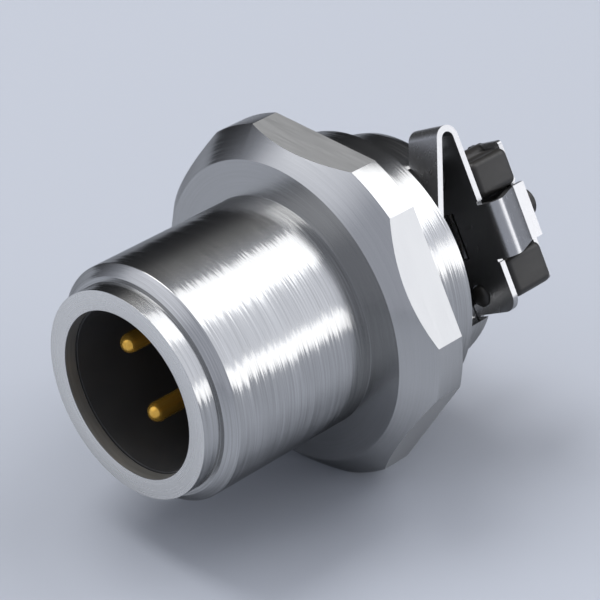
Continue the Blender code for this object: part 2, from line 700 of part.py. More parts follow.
def make_back_plate(shop, spring_steel):
    """The flat plate behind the block, notched for the latch's hook, with holes for posts and stud."""
    outer_edge = LUG_REACH - BACK_PLATE_INSET
    outline = rounded_rectangle((BLOCK_INNER_FACE, -BACK_PLATE_HALF_HEIGHT),
                                (outer_edge, BACK_PLATE_HALF_HEIGHT), BACK_PLATE_CORNER_RADIUS)
    plate = prism(
        shop, "back_plate", outline, BACK_PLATE_THICKNESS, shop.bracket, shop.parts,
        (0.0, 0.0, height(BACK_PLATE_DEPTH + BACK_PLATE_THICKNESS / 2)))
    low = height(BACK_PLATE_REAR_DEPTH + CUT_OVERRUN)
    high = height(BACK_PLATE_DEPTH - CUT_OVERRUN)
    notch_half = LATCH_HALF_WIDTH + BACK_PLATE_NOTCH_GAP
    cutters = [
        box(shop, "hook_notch",
            (LATCH_HOOK_REACH - SHEET_THICKNESS - BACK_PLATE_NOTCH_GAP, -notch_half, low),
            (outer_edge + CUT_OVERRUN, notch_half, high), shop.bracket, shop.cutters),
        bore(shop, "stud_hole", STUD_SHANK_RADIUS + FIT_GAP, (STUD_PLACE, 0.0),
             low, high, POST_STEPS, shop.bracket),
    ]
    for side in (-1, 1):
        cutters.append(bore(shop, f"back_post_hole_{side + 2}", POST_RADIUS + FIT_GAP,
                            (POST_PLACE, side * POST_HALF_SPACING), low, high, POST_STEPS, shop.bracket))
    for cutter in cutters:
        shop.hide_as_cutter(cutter)
        boolean(plate, cutter, "DIFFERENCE")
    return finish(plate, spring_steel)


def main():
    clear_scene()
    shop = Workshop()
    steel = make_material("turned_steel", STEEL, 0.25, 1.0)
    spring_steel = make_material("spring_steel", SPRING_STEEL, 0.3, 1.0)
    plastic = make_material("insert_plastic", BLACK_PLASTIC, 0.4, 0.0)
    block_plastic = make_material("block_plastic", DARK_PLASTIC, 0.45, 0.0)
    gold = make_material("gold_plating", GOLD, 0.18, 1.0)
    rubber = make_material("seal_rubber", RUBBER, 0.6, 0.0)
    make_shell(shop, steel)
    make_seals(shop, rubber)
    make_insert(shop, plastic)
    make_pins(shop, gold)
    make_retainer(shop, steel)
    make_bracket(shop, spring_steel)
    make_clip(shop, spring_steel)
    make_block(shop, block_plastic)
    make_back_plate(shop, spring_steel)


main()
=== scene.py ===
"""Looks of the circular sensor connector: its fine forms, finishes, light and camera.

Depths are measured from the mouth face along +Y. The bracket and the latch block lie in a frame that
is turned about the axis: its first direction, across, points out through the latch, its second, up,
points towards the finger's fold, and its third is the depth.

At the rear some lengths differ a little from the solids. The stud's outline and the back plate's edge
were set by measurement on the photo, and the block's upper end and edges were set one by one to follow
it. The plate's notch moves with its edge.
"""
import math

import bmesh
import bpy
from mathutils import Matrix, Vector


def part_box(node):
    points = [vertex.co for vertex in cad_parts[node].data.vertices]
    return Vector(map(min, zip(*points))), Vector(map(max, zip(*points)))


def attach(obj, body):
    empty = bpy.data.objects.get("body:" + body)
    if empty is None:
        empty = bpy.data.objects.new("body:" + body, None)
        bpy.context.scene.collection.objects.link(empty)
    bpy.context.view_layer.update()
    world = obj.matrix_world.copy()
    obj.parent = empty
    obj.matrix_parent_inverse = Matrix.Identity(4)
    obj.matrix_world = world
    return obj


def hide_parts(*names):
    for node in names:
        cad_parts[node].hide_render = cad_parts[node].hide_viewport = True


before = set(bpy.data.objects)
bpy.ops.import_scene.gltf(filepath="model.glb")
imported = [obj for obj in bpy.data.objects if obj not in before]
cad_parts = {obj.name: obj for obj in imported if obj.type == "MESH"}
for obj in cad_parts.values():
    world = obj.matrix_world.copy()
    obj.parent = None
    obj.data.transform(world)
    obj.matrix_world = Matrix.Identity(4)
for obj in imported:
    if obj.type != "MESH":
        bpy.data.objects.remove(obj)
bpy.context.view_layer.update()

MM = 0.001

# Places taken from the frame
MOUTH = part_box("shell")[0].y
FLOOR_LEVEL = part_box("shell")[0].z
HEX_ACROSS_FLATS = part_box("shell")[1].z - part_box("shell")[0].z

# Fits, and how finely the pieces are made
FIT_GAP = 0.04 * MM
CUT_OVERRUN = 0.5 * MM
WELD_DISTANCE = 0.0002 * MM
EDGE_BREAK = 0.018 * MM
EDGE_STEPS = 3
ARC_STEP = math.radians(6)
TURN_STEPS = 240
SMOOTH_ANGLE = math.radians(20)
ROUNDED_ANGLE = math.radians(40)

# Turned housing
SPIGOT_RADIUS = 5.27 * MM
SPIGOT_LENGTH = 1.0 * MM
BARREL_RADIUS = 6.0 * MM
BARREL_CHAMFER = 0.49 * MM
HEX_FRONT = 10.04 * MM
HEX_REAR = 12.99 * MM
HEX_FACE_RADIUS = 7.82 * MM
HEX_CORNER_RADIUS = 9.12 * MM
HEX_CHAMFER_LENGTH = 1.37 * MM
COLLAR_RADIUS = 7.12 * MM
COLLAR_REAR = 15.87 * MM
NECK_RADIUS = 6.14 * MM
NECK_REAR = 18.5 * MM
NECK_CHAMFER = 0.1 * MM
NECK_CHAMFER_LENGTH = 0.35 * MM
MOUTH_RADIUS = 4.25 * MM
LIP_LENGTH = 0.66 * MM
SEAT_RADIUS = 4.75 * MM
FLANGE_DEPTH = 12.6 * MM
REAR_BORE_RADIUS = 5.0 * MM
SEAL_GROOVE_WIDTH = 0.88 * MM
WINDOW_HALF_WIDTH = 4.16 * MM
WINDOW_FLOOR = 3.5 * MM

# Moulded insert
SOCKET_RADIUS = 4.16 * MM
SOCKET_FLOOR = 9.2 * MM
INSERT_FLANGE_LENGTH = 2.0 * MM
INSERT_BOSS_RADIUS = 3.1 * MM
INSERT_SEAL_DEPTH = 11.0 * MM
INSERT_SEAL_RADIUS = 0.3 * MM
KEY_ANGLE = math.radians(30)
KEY_RIB_WIDTH = 0.9 * MM
KEY_RIB_HEIGHT = 0.55 * MM
KEY_RIB_SETBACK = 2.0 * MM

# Retaining ring, push-on ring and seals
RETAINER_INNER_RADIUS = 3.6 * MM
CLIP_OUTER_RADIUS = 3.56 * MM
PANEL_SEAL_RADIUS = 0.4 * MM
SEAL_STEPS = 24

# Contact pins
PIN_COUNT = 4
PIN_RADIUS = 0.5 * MM
PIN_CIRCLE_RADIUS = 2.5 * MM
PIN_TIP_DEPTH = 2.0 * MM
PIN_TAIL_RADIUS = 0.4 * MM
PIN_TAIL_CHAMFER = 0.12 * MM
FIRST_PIN_ANGLE = math.radians(165)
PIN_STEPS = 64

# Folded shield bracket
BRACKET_ANGLE = math.radians(30)
SHEET_THICKNESS = 0.32 * MM
PLATE_DEPTH = 18.54 * MM
PLATE_DISC_RADIUS = 5.6 * MM
LUG_REACH = 6.5 * MM
LUG_HALF_HEIGHT = 4.1 * MM
LUG_CORNER_RADIUS = 0.8 * MM
FINGER_WIDTH = 2.1 * MM
FINGER_TOP = 5.65 * MM
FINGER_FOLD_RADIUS = 0.38 * MM
FINGER_LEAN = math.radians(25.4)
SLOT_HALF_HEIGHT = 1.2 * MM
SLOT_OUTER_EDGE = 4.5 * MM
SLOT_WIDTH = 0.75 * MM
LATCH_HALF_WIDTH = 1.41 * MM
LATCH_REACH = 7.5 * MM
LATCH_FOLD_RADIUS = 0.25 * MM
LATCH_SLOPE = math.radians(31.2)
LATCH_HOOK_REACH = 6.37 * MM
LATCH_HOOK_END = 21.88 * MM
LATCH_HOOK_FOLD_RADIUS = 0.08 * MM
RELIEF_WIDTH = 0.17 * MM
RELIEF_LENGTH = 0.1 * MM
LATCH_ROOT_LENGTH = 0.44 * MM

# Latch block, back plate and what runs through them
BLOCK_FRONT = 18.9 * MM
BLOCK_REAR = 21.51 * MM
BLOCK_INNER_FACE = 3.7 * MM
BLOCK_TOP = 3.38 * MM
BLOCK_BOTTOM = -3.6 * MM
BLOCK_EDGE_RADIUS = 0.4 * MM
BLOCK_EDGE_STEPS = 6
BLOCK_RELIEF_RADIUS = 3.86 * MM
WAIST_FLOOR = 5.75 * MM
WAIST_HALF_WIDTH = 1.51 * MM
POST_RADIUS = 0.55 * MM
POST_PLACE = 4.34 * MM
POST_HALF_SPACING = 3.12 * MM
POST_HEAD_HEIGHT = 0.3 * MM
POST_REAR = 21.88 * MM
STUD_PLACE = (5.36 * MM, 0.2 * MM)
STUD_SHANK_RADIUS = 0.42 * MM
STUD_HEAD_RADIUS = 0.76 * MM
STUD_HEAD_DEPTH = 21.93 * MM
STUD_DOME_HEIGHT = 0.2 * MM
BACK_PLATE_DEPTH = 21.55 * MM
BACK_PLATE_THICKNESS = 0.25 * MM
BACK_PLATE_EDGE = 5.96 * MM
BACK_PLATE_HALF_HEIGHT = 3.65 * MM
BACK_PLATE_CORNER_RADIUS = 0.2 * MM
BACK_PLATE_NOTCH_FLOOR = 5.85 * MM
POST_STEPS = 48
DOME_STEPS = 10

# Camera, fitted to the outlines of the barrel, the mouth and the hexagon
CAMERA_EYE = Vector((82.186, -82.181, 74.737)) * MM
CAMERA_RIGHT = Vector((0.7072, 0.7070, 0.0))
CAMERA_BACK = Vector((0.5949, -0.5951, 0.5403))
CAMERA_LENS = 171.48
SENSOR_WIDTH = 36.0
CAMERA_NEAR = 1 * MM

# Range that a material's noise keeps to for the most part
NOISE_RANGE = (0.3, 0.7)

# Steel: darkest and lightest colour, roughness, and how dense and how deep its marks and grain are
STEEL_EDGE_TINT = (0.5, 0.5, 0.5, 1.0)
TURNED_COLOURS = ((0.39, 0.39, 0.385), (0.52, 0.52, 0.515))
TURNED_ROUGHNESS = 0.21
TURNED_MARK_DEPTH = 0.05
EVEN_COLOURS = ((0.44, 0.44, 0.435), (0.48, 0.48, 0.475))
EVEN_ROUGHNESS = 0.22
EVEN_MARK_DEPTH = 0.015
# The mouth face's colours are much lighter than the turned steel's: painted light for the light the face
# catches. Its finer marks and roughness are its own finish.
FACED_LIT_COLOURS = ((0.76, 0.75, 0.725), (0.79, 0.78, 0.755))
FACED_ROUGHNESS = 0.26
FACED_MARK_DEPTH = 0.02
MARKS_ALONG = 12.0 / MM
MARKS_ROUND = 1.2
ROUGHNESS_SPREAD = 0.03
SHINE_STRETCH = 0.55
SHINE_TURN = 0.25
BORED_COLOURS = ((0.3, 0.29, 0.27), (0.38, 0.37, 0.345))
BORED_ROUGHNESS = (0.3, 0.4)
BORED_METALLIC = 0.6
BORED_MARKS_ALONG = 17.0 / MM
BORED_MARKS_ROUND = 2.6
MILLED_COLOURS = ((0.54, 0.54, 0.535), (0.57, 0.57, 0.565))
MILLED_ROUGHNESS = (0.42, 0.5)
MILLED_GRAIN = (0.5 / MM, 16.0 / MM, 0.5 / MM)
MILLED_RELIEF = 0.0001 * MM
SHEET_COLOURS = ((0.4, 0.4, 0.405), (0.43, 0.43, 0.435))
SHEET_ROUGHNESS = (0.26, 0.275)
SHEET_METALLIC = 0.93
SHEET_GRAIN = (6.0 / MM, 6.0 / MM, 0.3 / MM)

# Plastic, rubber and gold
INSERT_COLOURS = ((0.04, 0.04, 0.041), (0.05, 0.05, 0.051))
INSERT_ROUGHNESS = (0.3, 0.4)
BLOCK_COLOURS = ((0.018, 0.017, 0.015), (0.024, 0.022, 0.02))
BLOCK_ROUGHNESS = (0.38, 0.46)
BLOCK_GLOSS = 0.4
RUBBER_COLOURS = ((0.008, 0.008, 0.008), (0.016, 0.016, 0.016))
RUBBER_ROUGHNESS = (0.5, 0.6)
PLAIN_GLOSS = 0.5
MOULDED_GRAIN = 5.0 / MM
MOULDED_CLOUD = 0.4 / MM
MOULDED_RELIEF = 0.002 * MM
MOULDED_RELIEF_STRENGTH = 0.5
GOLD_COLOURS = ((0.9, 0.49, 0.07), (0.96, 0.56, 0.1))
GOLD_ROUGHNESS = (0.17, 0.21)
GOLD_METALLIC = 0.7
GOLD_GRAIN = (6.0 / MM, 0.5 / MM, 6.0 / MM)

# Floor, backdrop and the light from all round
FLOOR_REACH = 600 * MM
FLOOR_COLOUR = (0.46, 0.487, 0.55)
FLOOR_SHADE = 0.98
FLOOR_CLOUD = 0.02 / MM
FLOOR_ROUGHNESS = 0.8
FLOOR_STEPS = 96
BACKDROP_COLOUR = (0.56, 0.59, 0.68)
LAMP_DISTANCE = 400 * MM
HORIZON_LIGHT = 0.3
ZENITH_LIGHT = 0.5
SKY_TINT = (0.97, 0.99, 1.04)

# Soft glows in the surroundings: direction, angle of the core, angle where it ends, and light
GLOWS = (
    ((0.59, 0.6, 0.55), math.radians(14), math.radians(40), 0.6),
    ((-0.42, -0.6, 0.68), math.radians(10), math.radians(40), 0.55),
)

# A dark flag behind the left side, which only darkens what it is in front of
FLAG_DIRECTION = (-0.8, 0.58, 0.2)
FLAG_CORE = math.radians(34)
FLAG_END = math.radians(66)
FLAG_DEPTH = 0.95
FLAG_DISTANCE = 590 * MM
FLAG_MARGIN = math.radians(4)
FLAG_SUBDIVISIONS = 4

# Soft boxes: name, direction, width, height, light and colour
LAMPS = (
    ("high_box", (0.16, 0.6, 0.78), 235 * MM, 330 * MM, 2.1, (1.0, 1.0, 1.0)),
    ("low_box", (0.8, 0.6, 0.18), 300 * MM, 115 * MM, 1.7, (1.0, 0.99, 0.97)),
    ("top_box", (-0.44, -0.02, 0.9), 230 * MM, 230 * MM, 5.8, (1.0, 1.0, 1.0)),
)


def at_depth(depth):
    """World Y of a depth measured from the mouth face."""
    return MOUTH + depth


def at_node_rear(node):
    """Depth of the rear end of a CAD node."""
    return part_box(node)[1].y - MOUTH


# Materials

def new_material(name):
    material = bpy.data.materials.new(name)
    material.use_nodes = True
    tree = material.node_tree
    return material, tree, tree.nodes["Principled BSDF"]


def link(tree, source, target):
    tree.links.new(source, target)


def maths(tree, operation, *values):
    """A Math node on sockets or numbers, as its output socket."""
    node = tree.nodes.new("ShaderNodeMath")
    node.operation = operation
    for socket, value in zip(node.inputs, values):
        if isinstance(value, bpy.types.NodeSocket):
            link(tree, value, socket)
        else:
            socket.default_value = value
    return node.outputs[0]


def round_axis_coordinates(tree, along, around):
    """Coordinates that run slowly round the axis and fast along it, for turning marks."""
    place = tree.nodes.new("ShaderNodeTexCoord").outputs["Object"]
    split = tree.nodes.new("ShaderNodeSeparateXYZ")
    link(tree, place, split.inputs[0])
    x, y, z = split.outputs
    square = maths(tree, "ADD", maths(tree, "MULTIPLY", x, x), maths(tree, "MULTIPLY", z, z))
    radius = maths(tree, "SQRT", square)
    joined = tree.nodes.new("ShaderNodeCombineXYZ")
    link(tree, maths(tree, "MULTIPLY", maths(tree, "DIVIDE", x, radius), around), joined.inputs[0])
    link(tree, maths(tree, "MULTIPLY", maths(tree, "ADD", y, radius), along), joined.inputs[1])
    link(tree, maths(tree, "MULTIPLY", maths(tree, "DIVIDE", z, radius), around), joined.inputs[2])
    return joined.outputs[0]


def noise(tree, coordinates, detail, scale=1.0, roughness=0.5):
    node = tree.nodes.new("ShaderNodeTexNoise")
    node.inputs["Scale"].default_value = scale
    node.inputs["Detail"].default_value = detail
    node.inputs["Roughness"].default_value = roughness
    link(tree, coordinates, node.inputs["Vector"])
    return node.outputs["Fac"]


def spread(tree, value, low, high):
    """Maps noise that stays near the middle of 0 to 1 onto low to high."""
    node = tree.nodes.new("ShaderNodeMapRange")
    node.inputs["From Min"].default_value = NOISE_RANGE[0]
    node.inputs["From Max"].default_value = NOISE_RANGE[1]
    node.inputs["To Min"].default_value = low
    node.inputs["To Max"].default_value = high
    link(tree, value, node.inputs["Value"])
    return node.outputs["Result"]


def mixed_colour(tree, factor, colours):
    """A colour between the first and the second of a pair."""
    dark, light = colours
    node = tree.nodes.new("ShaderNodeMix")
    node.data_type = "RGBA"
    node.inputs["A"].default_value = (*dark, 1.0)
    node.inputs["B"].default_value = (*light, 1.0)
    link(tree, factor, node.inputs["Factor"])
    return node.outputs["Result"]


def vary_colour(tree, shader, value, colours):
    """Lets a noise carry the base colour between a pair of colours."""
    link(tree, mixed_colour(tree, spread(tree, value, 0.0, 1.0), colours), shader.inputs["Base Color"])


def vary_roughness(tree, shader, value, limits):
    link(tree, spread(tree, value, *limits), shader.inputs["Roughness"])


def grained(tree, scale, turn=0.0):
    """The object's coordinates, scaled so that a noise on them becomes a grain, then turned about Y."""
    place = tree.nodes.new("ShaderNodeTexCoord").outputs["Object"]
    stretch = tree.nodes.new("ShaderNodeMapping")
    stretch.inputs["Rotation"].default_value = (0.0, turn, 0.0)
    stretch.inputs["Scale"].default_value = scale
    link(tree, place, stretch.inputs["Vector"])
    return stretch.outputs[0]


def bump(tree, value, distance, strength=1.0):
    node = tree.nodes.new("ShaderNodeBump")
    node.inputs["Distance"].default_value = distance
    node.inputs["Strength"].default_value = strength
    link(tree, value, node.inputs["Height"])
    return node.outputs["Normal"]


def turned_steel(name, colours, roughness, depth):
    """Turned steel: its shine is drawn out along the axis, across fine marks that run round it.

    The depth says how far the marks turn the shine aside."""
    material, tree, shader = new_material(name)
    marks = noise(tree, round_axis_coordinates(tree, MARKS_ALONG, MARKS_ROUND), detail=2.0, roughness=0.55)
    tangent = tree.nodes.new("ShaderNodeTangent")
    tangent.direction_type = "RADIAL"
    tangent.axis = "Y"
    normal = tree.nodes.new("ShaderNodeNewGeometry").outputs["Normal"]
    tilt = tree.nodes.new("ShaderNodeVectorMath")
    tilt.operation = "MULTIPLY_ADD"
    link(tree, tangent.outputs[0], tilt.inputs[0])
    link(tree, spread(tree, marks, -depth, depth), tilt.inputs[1])
    link(tree, normal, tilt.inputs[2])
    level = tree.nodes.new("ShaderNodeVectorMath")
    level.operation = "NORMALIZE"
    link(tree, tilt.outputs[0], level.inputs[0])
    link(tree, level.outputs[0], shader.inputs["Normal"])
    link(tree, tangent.outputs[0], shader.inputs["Tangent"])
    vary_colour(tree, shader, marks, colours)
    limits = (roughness - ROUGHNESS_SPREAD, roughness + ROUGHNESS_SPREAD)
    vary_roughness(tree, shader, marks, limits)
    shader.inputs["Metallic"].default_value = 1.0
    shader.inputs["Specular Tint"].default_value = STEEL_EDGE_TINT
    shader.inputs["Anisotropic"].default_value = SHINE_STRETCH
    shader.inputs["Anisotropic Rotation"].default_value = SHINE_TURN
    return material


def bored_steel():
    """The lip's bore: a duller steel that takes up light from the front."""
    material, tree, shader = new_material("bored_steel")
    marks = noise(tree, round_axis_coordinates(tree, BORED_MARKS_ALONG, BORED_MARKS_ROUND), detail=2.0)
    vary_colour(tree, shader, marks, BORED_COLOURS)
    vary_roughness(tree, shader, marks, BORED_ROUGHNESS)
    shader.inputs["Metallic"].default_value = BORED_METALLIC
    return material


def milled_steel():
    """The hexagon's flats: an even, finely brushed face."""
    material, tree, shader = new_material("milled_steel")
    grain = noise(tree, grained(tree, MILLED_GRAIN), detail=4.0, roughness=0.6)
    vary_colour(tree, shader, grain, MILLED_COLOURS)
    vary_roughness(tree, shader, grain, MILLED_ROUGHNESS)
    link(tree, bump(tree, grain, MILLED_RELIEF), shader.inputs["Normal"])
    shader.inputs["Metallic"].default_value = 1.0
    shader.inputs["Specular Tint"].default_value = STEEL_EDGE_TINT
    return material


def sheet_steel():
    """Rolled spring steel: smooth, a little darker, with a faint rolling grain."""
    material, tree, shader = new_material("sheet_steel")
    grain = noise(tree, grained(tree, SHEET_GRAIN, BRACKET_ANGLE), detail=3.0)
    vary_colour(tree, shader, grain, SHEET_COLOURS)
    vary_roughness(tree, shader, grain, SHEET_ROUGHNESS)
    shader.inputs["Metallic"].default_value = SHEET_METALLIC
    shader.inputs["Specular Tint"].default_value = STEEL_EDGE_TINT
    return material


def moulded_plastic(name, colours, roughness, gloss=PLAIN_GLOSS):
    """Black moulded plastic or rubber with a fine even texture."""
    material, tree, shader = new_material(name)
    place = tree.nodes.new("ShaderNodeTexCoord").outputs["Object"]
    grain = noise(tree, place, detail=3.0, scale=MOULDED_GRAIN)
    cloud = noise(tree, place, detail=2.0, scale=MOULDED_CLOUD)
    vary_colour(tree, shader, cloud, colours)
    vary_roughness(tree, shader, grain, roughness)
    link(tree, bump(tree, grain, MOULDED_RELIEF, MOULDED_RELIEF_STRENGTH), shader.inputs["Normal"])
    shader.inputs["Specular IOR Level"].default_value = gloss
    return material


def gold_plating():
    material, tree, shader = new_material("gold_plating")
    grain = noise(tree, grained(tree, GOLD_GRAIN), detail=2.0)
    vary_colour(tree, shader, grain, GOLD_COLOURS)
    vary_roughness(tree, shader, grain, GOLD_ROUGHNESS)
    shader.inputs["Metallic"].default_value = GOLD_METALLIC
    return material


# Making pieces

def eased(section, closed):
    """A section whose corners are broken by small rounds."""
    points = [Vector(point) for point in section]
    result = []
    for index, corner in enumerate(points):
        if not closed and index in (0, len(points) - 1):
            result.append(corner)
            continue
        before = points[index - 1] - corner
        after = points[(index + 1) % len(points)] - corner
        reach = min(EDGE_BREAK, before.length / 3, after.length / 3)
        start = corner + before.normalized() * reach
        end = corner + after.normalized() * reach
        for step in range(EDGE_STEPS + 1):
            share = step / EDGE_STEPS
            result.append(start.lerp(corner, share).lerp(corner.lerp(end, share), share))
    return result


def as_object(name, cage, material):
    mesh = bpy.data.meshes.new(name)
    cage.to_mesh(mesh)
    cage.free()
    item = bpy.data.objects.new(name, mesh)
    bpy.context.scene.collection.objects.link(item)
    item.data.materials.append(material)
    return item


def lathe(name, section, material, steps=TURN_STEPS, place=(0.0, 0.0)):
    """A turned piece from (depth, radius) points. A section that starts on the axis also ends there."""
    closed = section[0][1] > 0.0
    points = eased(section, closed)
    cage = bmesh.new()
    ring = [cage.verts.new((point[1], at_depth(point[0]), 0.0)) for point in points]
    edges = [cage.edges.new(pair) for pair in zip(ring, ring[1:])]
    if closed:
        edges.append(cage.edges.new((ring[-1], ring[0])))
    bmesh.ops.spin(cage, geom=ring + edges, axis=(0, 1, 0), angle=math.tau, steps=steps)
    bmesh.ops.remove_doubles(cage, verts=cage.verts, dist=WELD_DISTANCE)
    bmesh.ops.dissolve_degenerate(cage, edges=cage.edges, dist=WELD_DISTANCE)
    bmesh.ops.translate(cage, verts=cage.verts, vec=(place[0], 0.0, place[1]))
    bmesh.ops.recalc_face_normals(cage, faces=cage.faces)
    return as_object(name, cage, material)


def to_world(turn):
    """Matrix from (across, up, depth) in a frame turned about the axis to the world."""
    across = Vector((math.cos(turn), 0.0, math.sin(turn)))
    up = Vector((-math.sin(turn), 0.0, math.cos(turn)))
    matrix = Matrix((across, up, Vector((0.0, 1.0, 0.0)))).transposed().to_4x4()
    matrix.translation = (0.0, MOUTH, 0.0)
    return matrix


def block_between(name, low, high, turn, material):
    """A box between two (across, up, depth) corners of a frame turned about the axis."""
    cage = bmesh.new()
    bmesh.ops.create_cube(cage, size=1.0)
    size = [top - bottom for bottom, top in zip(low, high)]
    middle = [(top + bottom) / 2 for bottom, top in zip(low, high)]
    for vertex in cage.verts:
        vertex.co = [part * length + centre for part, length, centre in zip(vertex.co, size, middle)]
    bmesh.ops.transform(cage, matrix=to_world(turn), verts=cage.verts)
    bmesh.ops.recalc_face_normals(cage, faces=cage.faces)
    return as_object(name, cage, material)


def slab(name, outline, normal, low, high, turn, material):
    """A flat outline given a thickness along one of the frame's directions, from low to high."""
    order = {"across": (2, 0, 1), "up": (0, 2, 1), "depth": (0, 1, 2)}[normal]
    cage = bmesh.new()
    ends = []
    for level in (low, high):
        places = [(point[0], point[1], level) for point in outline]
        ends.append([cage.verts.new([place[index] for index in order]) for place in places])
    cage.faces.new(ends[0])
    cage.faces.new(ends[1][::-1])
    for index, vertex in enumerate(ends[0]):
        cage.faces.new((vertex, ends[0][index - 1], ends[1][index - 1], ends[1][index]))
    bmesh.ops.transform(cage, matrix=to_world(turn), verts=cage.verts)
    bmesh.ops.recalc_face_normals(cage, faces=cage.faces)
    return as_object(name, cage, material)


def apply_modifiers(item):
    evaluated = item.evaluated_get(bpy.context.evaluated_depsgraph_get())
    mesh = bpy.data.meshes.new_from_object(evaluated)
    item.modifiers.clear()
    item.data = mesh


def combine(item, other, operation, keep_material=False):
    """Joins or cuts a piece with another, which is used up."""
    modifier = item.modifiers.new("combine", "BOOLEAN")
    modifier.operation = operation
    modifier.solver = "EXACT"
    modifier.object = other
    modifier.material_mode = "TRANSFER" if keep_material else "INDEX"
    apply_modifiers(item)
    bpy.data.objects.remove(other, do_unlink=True)


def round_edges(item, radius, steps):
    rounding = item.modifiers.new("rounded_edges", "BEVEL")
    rounding.width = radius
    rounding.segments = steps
    rounding.limit_method = "ANGLE"
    rounding.angle_limit = ROUNDED_ANGLE
    apply_modifiers(item)


def install(item, node):
    """Smooths a piece and puts it in the place of its CAD node."""
    item.data.shade_smooth()
    item.data.set_sharp_from_angle(angle=SMOOTH_ANGLE)
    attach(item, "root")
    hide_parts(node)


def arc(centre, radius, start, end):
    """Points along an arc, both ends included."""
    count = max(2, round(abs(end - start) / ARC_STEP))
    angles = [start + (end - start) * index / count for index in range(count + 1)]
    return [(centre[0] + radius * math.cos(angle), centre[1] + radius * math.sin(angle))
            for angle in angles]


# The housing and what is in it

def coat(item, material, chosen):
    """Gives the faces of the first material that pass a test another one."""
    item.data.materials.append(material)
    for face in item.data.polygons:
        if face.material_index == 0 and chosen(face.center):
            face.material_index = len(item.data.materials) - 1


def make_shell(steel, even, flats, faced_lit, bored):
    groove_floor = HEX_REAR - SEAL_GROOVE_WIDTH
    section = [
        (0.0, MOUTH_RADIUS),
        (0.0, SPIGOT_RADIUS),
        (SPIGOT_LENGTH, SPIGOT_RADIUS),
        (SPIGOT_LENGTH, BARREL_RADIUS - BARREL_CHAMFER),
        (SPIGOT_LENGTH + BARREL_CHAMFER, BARREL_RADIUS),
        (HEX_FRONT, BARREL_RADIUS),
        (HEX_FRONT, HEX_FACE_RADIUS),
        (HEX_FRONT + HEX_CHAMFER_LENGTH, HEX_CORNER_RADIUS),
        (HEX_REAR, HEX_CORNER_RADIUS),
        (HEX_REAR, COLLAR_RADIUS + SEAL_GROOVE_WIDTH),
        (groove_floor, COLLAR_RADIUS + SEAL_GROOVE_WIDTH),
        (groove_floor, COLLAR_RADIUS),
        (COLLAR_REAR, COLLAR_RADIUS),
        (COLLAR_REAR, NECK_RADIUS),
        (NECK_REAR - NECK_CHAMFER_LENGTH, NECK_RADIUS),
        (NECK_REAR, NECK_RADIUS - NECK_CHAMFER),
        (NECK_REAR, REAR_BORE_RADIUS),
        (FLANGE_DEPTH, REAR_BORE_RADIUS),
        (FLANGE_DEPTH, SEAT_RADIUS),
        (LIP_LENGTH, SEAT_RADIUS),
        (LIP_LENGTH, MOUTH_RADIUS),
    ]
    shell = lathe("housing", section, steel)
    corner_distance = HEX_ACROSS_FLATS / 2 / math.cos(math.pi / 6)
    angles = [math.tau * index / 6 for index in range(6)]
    corners = [(corner_distance * math.cos(angle), corner_distance * math.sin(angle)) for angle in angles]
    bar = slab("hexagon_bar", corners, "depth", -CUT_OVERRUN, NECK_REAR + CUT_OVERRUN, 0.0, flats)
    combine(shell, bar, "INTERSECT", keep_material=True)
    window = block_between(
        "neck_window", (WINDOW_FLOOR, -WINDOW_HALF_WIDTH, COLLAR_REAR),
        (NECK_RADIUS + CUT_OVERRUN, WINDOW_HALF_WIDTH, NECK_REAR + CUT_OVERRUN), BRACKET_ANGLE, steel)
    combine(shell, window, "DIFFERENCE")
    coat(shell, even, lambda centre: at_depth(HEX_FRONT - WELD_DISTANCE) < centre.y < at_depth(HEX_REAR)
         and math.hypot(centre.x, centre.z) > BARREL_RADIUS + WELD_DISTANCE)
    # The mouth face gets the lighter steel, whose extra lightness is painted light.
    coat(shell, faced_lit, lambda centre: centre.y < at_depth(WELD_DISTANCE))
    lip_start = at_depth(WELD_DISTANCE)
    lip_end = at_depth(LIP_LENGTH - WELD_DISTANCE)
    coat(shell, bored, lambda centre: lip_start < centre.y < lip_end
         and math.hypot(centre.x, centre.z) < MOUTH_RADIUS + WELD_DISTANCE)
    install(shell, "shell")


